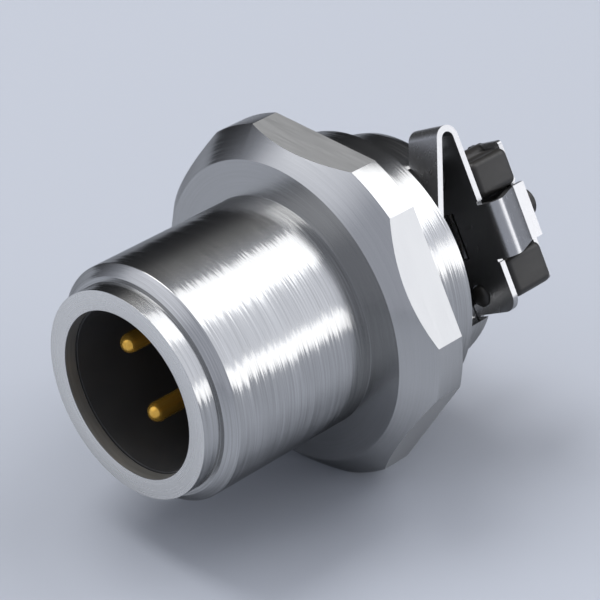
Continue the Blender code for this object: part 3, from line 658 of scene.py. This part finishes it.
def make_insert(plastic):
    cup_radius = SEAT_RADIUS - FIT_GAP
    groove_half = INSERT_SEAL_RADIUS + FIT_GAP
    groove_radius = cup_radius - groove_half - groove_half
    flange_front = FLANGE_DEPTH + FIT_GAP
    flange_rear = flange_front + INSERT_FLANGE_LENGTH
    boss_rear = at_node_rear("insert")
    section = [
        (SOCKET_FLOOR, 0.0),
        (SOCKET_FLOOR, SOCKET_RADIUS),
        (LIP_LENGTH + FIT_GAP, SOCKET_RADIUS),
        (LIP_LENGTH + FIT_GAP, cup_radius),
        (INSERT_SEAL_DEPTH - groove_half, cup_radius),
        (INSERT_SEAL_DEPTH - groove_half, groove_radius),
        (INSERT_SEAL_DEPTH + groove_half, groove_radius),
        (INSERT_SEAL_DEPTH + groove_half, cup_radius),
        (flange_front, cup_radius),
        (flange_front, REAR_BORE_RADIUS - FIT_GAP),
        (flange_rear, REAR_BORE_RADIUS - FIT_GAP),
        (flange_rear, INSERT_BOSS_RADIUS),
        (boss_rear, INSERT_BOSS_RADIUS),
        (boss_rear, 0.0),
    ]
    insert = lathe("contact_insert", section, plastic)
    rib = block_between(
        "key_rib", (SOCKET_RADIUS - KEY_RIB_HEIGHT, -KEY_RIB_WIDTH / 2, LIP_LENGTH + KEY_RIB_SETBACK),
        ((SOCKET_RADIUS + cup_radius) / 2, KEY_RIB_WIDTH / 2, SOCKET_FLOOR + CUT_OVERRUN),
        KEY_ANGLE, plastic)
    combine(insert, rib, "UNION")
    for number in range(PIN_COUNT):
        hole_radius = PIN_RADIUS + FIT_GAP
        hole = lathe(
            f"pin_hole_{number + 1}",
            [(SOCKET_FLOOR - CUT_OVERRUN, 0.0), (SOCKET_FLOOR - CUT_OVERRUN, hole_radius),
             (boss_rear + CUT_OVERRUN, hole_radius), (boss_rear + CUT_OVERRUN, 0.0)],
            plastic, PIN_STEPS, pin_place(number))
        combine(insert, hole, "DIFFERENCE")
    install(insert, "insert")


def pin_place(number):
    angle = FIRST_PIN_ANGLE + math.tau * number / PIN_COUNT
    return PIN_CIRCLE_RADIUS * math.cos(angle), PIN_CIRCLE_RADIUS * math.sin(angle)


def dome(radius, rise):
    """Points of a domed end from the axis to its side, as (distance behind the tip, radius)."""
    angles = [math.pi / 2 * index / DOME_STEPS for index in range(DOME_STEPS + 1)]
    return [(rise - rise * math.cos(angle), radius * math.sin(angle)) for angle in angles]


def make_pins(gold):
    boss_rear = at_node_rear("insert")
    tail_end = at_node_rear("pin_1")
    section = [(PIN_TIP_DEPTH + drop, radius) for drop, radius in dome(PIN_RADIUS, PIN_RADIUS)]
    section += [
        (boss_rear, PIN_RADIUS),
        (boss_rear, PIN_TAIL_RADIUS),
        (tail_end - PIN_TAIL_CHAMFER, PIN_TAIL_RADIUS),
        (tail_end, PIN_TAIL_RADIUS - PIN_TAIL_CHAMFER),
        (tail_end, 0.0),
    ]
    for number in range(PIN_COUNT):
        pin = lathe(f"contact_{number + 1}", section, gold, PIN_STEPS, pin_place(number))
        install(pin, f"pin_{number + 1}")


def make_ring(name, node, inner_radius, outer_radius, material):
    """A flat ring over the whole length of its CAD node."""
    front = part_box(node)[0].y - MOUTH
    rear = at_node_rear(node)
    section = [(front, inner_radius), (front, outer_radius), (rear, outer_radius), (rear, inner_radius)]
    install(lathe(name, section, material), node)


def make_seal(name, node, section_radius, material):
    """A round rubber ring that fills the box of its CAD node."""
    low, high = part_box(node)
    ring_radius = (high.x - low.x) / 2 - section_radius
    middle = (low.y + high.y) / 2 - MOUTH
    section = [(middle + section_radius * math.cos(angle), ring_radius + section_radius * math.sin(angle))
               for angle in (math.tau * index / SEAL_STEPS for index in range(SEAL_STEPS))]
    install(lathe(name, section, material), node)


# The bracket and the latch block

def folded_strip(start, runs):
    """The edge outline of a folded sheet, from (length, turn, inner radius) runs.

    The strip starts at a point of its middle plane and heads along the first direction."""
    half = SHEET_THICKNESS / 2
    across, along = start
    heading = 0.0
    left = [(across, along + half)]
    right = [(across, along - half)]
    for length, turn, inner_radius in runs:
        across += length * math.cos(heading)
        along += length * math.sin(heading)
        if turn == 0.0:
            normal = (-math.sin(heading) * half, math.cos(heading) * half)
            left.append((across + normal[0], along + normal[1]))
            right.append((across - normal[0], along - normal[1]))
            continue
        side = math.copysign(1.0, turn)
        middle_radius = inner_radius + half
        centre = (across - side * middle_radius * math.sin(heading),
                  along + side * middle_radius * math.cos(heading))
        begin = heading - side * math.pi / 2
        left += arc(centre, middle_radius - side * half, begin, begin + turn)
        right += arc(centre, middle_radius + side * half, begin, begin + turn)
        heading += turn
        across = centre[0] + side * middle_radius * math.sin(heading)
        along = centre[1] - side * middle_radius * math.cos(heading)
    return left + right[::-1]


def finger_outline():
    """Edge outline (up, depth) of the finger: up the plate, over the fold and down to the collar."""
    half = SHEET_THICKNESS / 2
    middle = PLATE_DEPTH + half
    fold_radius = FINGER_FOLD_RADIUS + half
    fold_start = FINGER_TOP - FINGER_FOLD_RADIUS - SHEET_THICKNESS
    turn = math.pi - FINGER_LEAN
    leg_start = middle - fold_radius + fold_radius * math.cos(turn)
    leg_end = COLLAR_REAR + FIT_GAP + half * math.cos(FINGER_LEAN)
    leg_length = (leg_start - leg_end) / math.sin(FINGER_LEAN)
    root = LUG_HALF_HEIGHT / 2
    return folded_strip((root, middle), [
        (fold_start - root, -turn, FINGER_FOLD_RADIUS),
        (leg_length, 0.0, 0.0)])


def latch_outline():
    """Edge outline (across, depth) of the latch: out of the plate, back over the block, to its hook."""
    half = SHEET_THICKNESS / 2
    middle = PLATE_DEPTH + half
    fold_start = LATCH_REACH - LATCH_FOLD_RADIUS - SHEET_THICKNESS
    fold_middle = LATCH_FOLD_RADIUS + half
    hook_middle = LATCH_HOOK_FOLD_RADIUS + half
    slope_start = fold_start + fold_middle * math.cos(LATCH_SLOPE)
    slope_end = LATCH_HOOK_REACH - half + hook_middle * (1 - math.cos(LATCH_SLOPE))
    slope_length = (slope_start - slope_end) / math.sin(LATCH_SLOPE)
    folds_rise = fold_middle + (fold_middle + hook_middle) * math.sin(LATCH_SLOPE)
    hook_start = middle + folds_rise + slope_length * math.cos(LATCH_SLOPE)
    root = LUG_REACH - LATCH_ROOT_LENGTH
    return folded_strip((root, middle), [
        (fold_start - root, math.pi / 2 + LATCH_SLOPE, LATCH_FOLD_RADIUS),
        (slope_length, -LATCH_SLOPE, LATCH_HOOK_FOLD_RADIUS),
        (LATCH_HOOK_END - hook_start, 0.0, 0.0)])


def plate_outline():
    """Outline of the round plate with its lug, whose lower corner is rounded."""
    junction = math.asin(LUG_HALF_HEIGHT / PLATE_DISC_RADIUS)
    outline = arc((0.0, 0.0), PLATE_DISC_RADIUS, junction, math.tau - junction)
    corner = (LUG_REACH - LUG_CORNER_RADIUS, LUG_CORNER_RADIUS - LUG_HALF_HEIGHT)
    outline += arc(corner, LUG_CORNER_RADIUS, -math.pi / 2, 0.0)
    outline.append((LUG_REACH, LUG_HALF_HEIGHT))
    return outline


def turned_place(place):
    """World (x, z) of an (across, up) place in the bracket's frame."""
    point = to_world(BRACKET_ANGLE) @ Vector((place[0], place[1], 0.0))
    return point.x, point.z


def drill(item, radius, place, low, high, steps=POST_STEPS):
    """Cuts a round hole through a flat piece."""
    rod = lathe("drill", [(low, 0.0), (low, radius), (high, radius), (high, 0.0)],
                item.data.materials[0], steps, turned_place(place))
    combine(item, rod, "DIFFERENCE")


def make_bracket(steel):
    low = PLATE_DEPTH - CUT_OVERRUN
    rear = PLATE_DEPTH + SHEET_THICKNESS
    high = rear + CUT_OVERRUN
    bracket = slab("bracket", plate_outline(), "depth", PLATE_DEPTH, rear, BRACKET_ANGLE, steel)
    finger = slab("finger", finger_outline(), "across", LUG_REACH - FINGER_WIDTH, LUG_REACH,
                  BRACKET_ANGLE, steel)
    combine(bracket, finger, "UNION")
    latch = slab("latch", latch_outline(), "up", -LATCH_HALF_WIDTH, LATCH_HALF_WIDTH, BRACKET_ANGLE, steel)
    combine(bracket, latch, "UNION")
    drill(bracket, INSERT_BOSS_RADIUS + FIT_GAP, (0.0, 0.0), low, high, TURN_STEPS)
    for side in (-1, 1):
        drill(bracket, POST_RADIUS + FIT_GAP, (POST_PLACE, side * POST_HALF_SPACING), low, high)
        edges = sorted((side * LATCH_HALF_WIDTH, side * (LATCH_HALF_WIDTH + RELIEF_WIDTH)))
        relief = block_between("relief", (LUG_REACH - RELIEF_LENGTH, edges[0], low),
                               (LUG_REACH + CUT_OVERRUN, edges[1], high), BRACKET_ANGLE, steel)
        combine(bracket, relief, "DIFFERENCE")
    slot = block_between("slot", (SLOT_OUTER_EDGE - SLOT_WIDTH, -SLOT_HALF_HEIGHT, low),
                         (SLOT_OUTER_EDGE, SLOT_HALF_HEIGHT, high), BRACKET_ANGLE, steel)
    combine(bracket, slot, "DIFFERENCE")
    install(bracket, "shield_bracket")


def make_block(plastic):
    block = block_between("block", (BLOCK_INNER_FACE, BLOCK_BOTTOM, BLOCK_FRONT),
                          (LUG_REACH, BLOCK_TOP, BLOCK_REAR), BRACKET_ANGLE, plastic)
    waist = block_between("waist", (WAIST_FLOOR, -WAIST_HALF_WIDTH, BLOCK_FRONT - CUT_OVERRUN),
                          (LUG_REACH + CUT_OVERRUN, WAIST_HALF_WIDTH, BLOCK_REAR + CUT_OVERRUN),
                          BRACKET_ANGLE, plastic)
    combine(block, waist, "DIFFERENCE")
    round_edges(block, BLOCK_EDGE_RADIUS, BLOCK_EDGE_STEPS)
    drill(block, BLOCK_RELIEF_RADIUS, (0.0, 0.0), BLOCK_FRONT - CUT_OVERRUN, BLOCK_REAR + CUT_OVERRUN,
          TURN_STEPS)
    tip = PLATE_DEPTH - POST_HEAD_HEIGHT
    head = [(tip + drop, radius) for drop, radius in dome(POST_RADIUS, POST_HEAD_HEIGHT)]
    post_section = head + [(POST_REAR, POST_RADIUS), (POST_REAR, 0.0)]
    for side in (-1, 1):
        place = turned_place((POST_PLACE, side * POST_HALF_SPACING))
        combine(block, lathe("post", post_section, plastic, POST_STEPS, place), "UNION")
    root = (BLOCK_FRONT + BLOCK_REAR) / 2
    stud_end = at_node_rear("latch_block")
    rounding = reversed(dome(STUD_HEAD_RADIUS, STUD_DOME_HEIGHT))
    head = [(stud_end - rise, radius) for rise, radius in rounding]
    stud_section = [(root, 0.0), (root, STUD_SHANK_RADIUS), (STUD_HEAD_DEPTH, STUD_SHANK_RADIUS),
                    (STUD_HEAD_DEPTH, STUD_HEAD_RADIUS)] + head
    stud = lathe("stud", stud_section, plastic, POST_STEPS, turned_place(STUD_PLACE))
    combine(block, stud, "UNION")
    install(block, "latch_block")


def rounded_rectangle(low, high, radius):
    """An outline with four round corners."""
    left, bottom = low
    right, top = high
    outline = arc((right - radius, bottom + radius), radius, -math.pi / 2, 0.0)
    outline += arc((right - radius, top - radius), radius, 0.0, math.pi / 2)
    outline += arc((left + radius, top - radius), radius, math.pi / 2, math.pi)
    outline += arc((left + radius, bottom + radius), radius, math.pi, math.pi * 3 / 2)
    return outline


def make_back_plate(steel):
    rear = BACK_PLATE_DEPTH + BACK_PLATE_THICKNESS
    low = BACK_PLATE_DEPTH - CUT_OVERRUN
    high = rear + CUT_OVERRUN
    outline = rounded_rectangle((BLOCK_INNER_FACE, -BACK_PLATE_HALF_HEIGHT),
                                (BACK_PLATE_EDGE, BACK_PLATE_HALF_HEIGHT), BACK_PLATE_CORNER_RADIUS)
    plate = slab("rear_plate", outline, "depth", BACK_PLATE_DEPTH, rear, BRACKET_ANGLE, steel)
    notch = block_between("hook_notch", (BACK_PLATE_NOTCH_FLOOR, -WAIST_HALF_WIDTH, low),
                          (BACK_PLATE_EDGE + CUT_OVERRUN, WAIST_HALF_WIDTH, high), BRACKET_ANGLE, steel)
    combine(plate, notch, "DIFFERENCE")
    drill(plate, STUD_SHANK_RADIUS + FIT_GAP, STUD_PLACE, low, high)
    for side in (-1, 1):
        drill(plate, POST_RADIUS + FIT_GAP, (POST_PLACE, side * POST_HALF_SPACING), low, high)
    install(plate, "back_plate")


# Surroundings

def make_floor():
    cage = bmesh.new()
    bmesh.ops.create_circle(cage, cap_ends=True, segments=FLOOR_STEPS, radius=FLOOR_REACH)
    bmesh.ops.translate(cage, verts=cage.verts, vec=(0.0, 0.0, FLOOR_LEVEL))
    material, tree, shader = new_material("floor")
    place = tree.nodes.new("ShaderNodeTexCoord").outputs["Object"]
    cloud = noise(tree, place, detail=2.0, scale=FLOOR_CLOUD)
    shaded = [part * FLOOR_SHADE for part in FLOOR_COLOUR]
    link(tree, mixed_colour(tree, cloud, (shaded, FLOOR_COLOUR)), shader.inputs["Base Color"])
    shader.inputs["Roughness"].default_value = FLOOR_ROUGHNESS
    as_object("floor", cage, material)


def soft_box(name, direction, width, height, strength, colour):
    """A flat soft lamp at one distance from the origin, facing it. It isn't seen by the camera."""
    lamp = bpy.data.lights.new(name, "AREA")
    lamp.shape = "RECTANGLE"
    lamp.size = width
    lamp.size_y = height
    lamp.energy = strength * width * height * math.pi
    lamp.color = colour
    item = bpy.data.objects.new(name, lamp)
    bpy.context.scene.collection.objects.link(item)
    item.location = Vector(direction).normalized() * LAMP_DISTANCE
    item.rotation_euler = Vector(direction).to_track_quat("Z", "Y").to_euler()
    item.visible_camera = False


def lobe(tree, direction, axis, core, end):
    """1 within the core angle of an axis, falling smoothly to 0 at the end angle."""
    aim = tree.nodes.new("ShaderNodeVectorMath")
    aim.operation = "DOT_PRODUCT"
    link(tree, direction, aim.inputs[0])
    aim.inputs[1].default_value = Vector(axis).normalized()
    fade = tree.nodes.new("ShaderNodeMapRange")
    fade.interpolation_type = "SMOOTHSTEP"
    fade.inputs["From Min"].default_value = math.cos(end)
    fade.inputs["From Max"].default_value = math.cos(core)
    link(tree, aim.outputs["Value"], fade.inputs["Value"])
    return fade.outputs["Result"]


def tinted(tree, light):
    """A light level as a colour of the sky."""
    tint = tree.nodes.new("ShaderNodeVectorMath")
    tint.operation = "SCALE"
    tint.inputs[0].default_value = SKY_TINT
    link(tree, light, tint.inputs["Scale"])
    return tint.outputs[0]


def make_flag():
    """A dark cloth round the far left, which fades out at its rim. It isn't seen by the camera."""
    cage = bmesh.new()
    bmesh.ops.create_icosphere(cage, subdivisions=FLAG_SUBDIVISIONS, radius=FLAG_DISTANCE)
    axis = Vector(FLAG_DIRECTION).normalized()
    outside = [vertex for vertex in cage.verts if vertex.co.angle(axis) > FLAG_END + FLAG_MARGIN]
    bmesh.ops.delete(cage, geom=outside, context="VERTS")
    material, tree, shader = new_material("flag")
    place = tree.nodes.new("ShaderNodeTexCoord").outputs["Object"]
    direction = tree.nodes.new("ShaderNodeVectorMath")
    direction.operation = "NORMALIZE"
    link(tree, place, direction.inputs[0])
    cover = lobe(tree, direction.outputs[0], FLAG_DIRECTION, FLAG_CORE, FLAG_END)
    link(tree, maths(tree, "MULTIPLY", cover, FLAG_DEPTH), shader.inputs["Alpha"])
    shader.inputs["Base Color"].default_value = (0.0, 0.0, 0.0, 1.0)
    shader.inputs["Specular IOR Level"].default_value = 0.0
    flag = as_object("flag", cage, material)
    flag.visible_camera = False


def make_world():
    """Soft surroundings with two wide glows. The camera and the metal see the backdrop's colour."""
    world = bpy.data.worlds.new("studio")
    bpy.context.scene.world = world
    world.use_nodes = True
    tree = world.node_tree
    background = tree.nodes["Background"]
    direction = tree.nodes.new("ShaderNodeTexCoord").outputs["Generated"]
    split = tree.nodes.new("ShaderNodeSeparateXYZ")
    link(tree, direction, split.inputs[0])
    light = maths(tree, "MULTIPLY_ADD", split.outputs[2], ZENITH_LIGHT - HORIZON_LIGHT, HORIZON_LIGHT)
    glow = 0.0
    for axis, core, end, strength in GLOWS:
        glow = maths(tree, "MULTIPLY_ADD", lobe(tree, direction, axis, core, end), strength, glow)
    path = tree.nodes.new("ShaderNodeLightPath").outputs
    seen = maths(tree, "MAXIMUM", path["Is Camera Ray"], path["Is Glossy Ray"])
    seen = maths(tree, "MAXIMUM", seen, path["Is Transmission Ray"])
    base = tree.nodes.new("ShaderNodeMix")
    base.data_type = "RGBA"
    base.inputs["B"].default_value = (*BACKDROP_COLOUR, 1.0)
    link(tree, seen, base.inputs["Factor"])
    link(tree, tinted(tree, light), base.inputs["A"])
    total = tree.nodes.new("ShaderNodeVectorMath")
    total.operation = "ADD"
    link(tree, base.outputs["Result"], total.inputs[0])
    link(tree, tinted(tree, glow), total.inputs[1])
    link(tree, total.outputs[0], background.inputs["Color"])


def make_camera():
    lens = bpy.data.cameras.new("camera")
    lens.lens = CAMERA_LENS
    lens.sensor_width = SENSOR_WIDTH
    lens.clip_start = CAMERA_NEAR
    camera = bpy.data.objects.new("camera", lens)
    bpy.context.scene.collection.objects.link(camera)
    back = CAMERA_BACK.normalized()
    right = CAMERA_RIGHT.normalized()
    turn = Matrix((right, back.cross(right), back)).transposed().to_4x4()
    turn.translation = CAMERA_EYE
    camera.matrix_world = turn
    bpy.context.scene.camera = camera


def main():
    bpy.context.scene.view_settings.view_transform = "Standard"
    make_camera()
    make_floor()
    make_world()
    make_flag()
    for lamp in LAMPS:
        soft_box(*lamp)
    steel = turned_steel("turned_steel", TURNED_COLOURS, TURNED_ROUGHNESS, TURNED_MARK_DEPTH)
    even = turned_steel("even_steel", EVEN_COLOURS, EVEN_ROUGHNESS, EVEN_MARK_DEPTH)
    # Turned steel in lighter colours for the mouth face: the lightness is painted light.
    faced_lit = turned_steel("faced_steel_painted_light", FACED_LIT_COLOURS, FACED_ROUGHNESS, FACED_MARK_DEPTH)
    flats = milled_steel()
    sheet = sheet_steel()
    insert_plastic = moulded_plastic("insert_plastic", INSERT_COLOURS, INSERT_ROUGHNESS)
    block_plastic = moulded_plastic("block_plastic", BLOCK_COLOURS, BLOCK_ROUGHNESS, BLOCK_GLOSS)
    rubber = moulded_plastic("seal_rubber", RUBBER_COLOURS, RUBBER_ROUGHNESS)
    make_shell(steel, even, flats, faced_lit, bored_steel())
    make_insert(insert_plastic)
    make_pins(gold_plating())
    make_ring("retainer", "retainer_ring", RETAINER_INNER_RADIUS, REAR_BORE_RADIUS - FIT_GAP, steel)
    make_ring("clip", "bracket_clip", INSERT_BOSS_RADIUS + FIT_GAP, CLIP_OUTER_RADIUS, sheet)
    make_seal("panel_ring", "panel_seal", PANEL_SEAL_RADIUS, rubber)
    make_seal("insert_ring", "insert_seal", INSERT_SEAL_RADIUS, rubber)
    make_bracket(sheet)
    make_block(block_plastic)
    make_back_plate(sheet)


main()
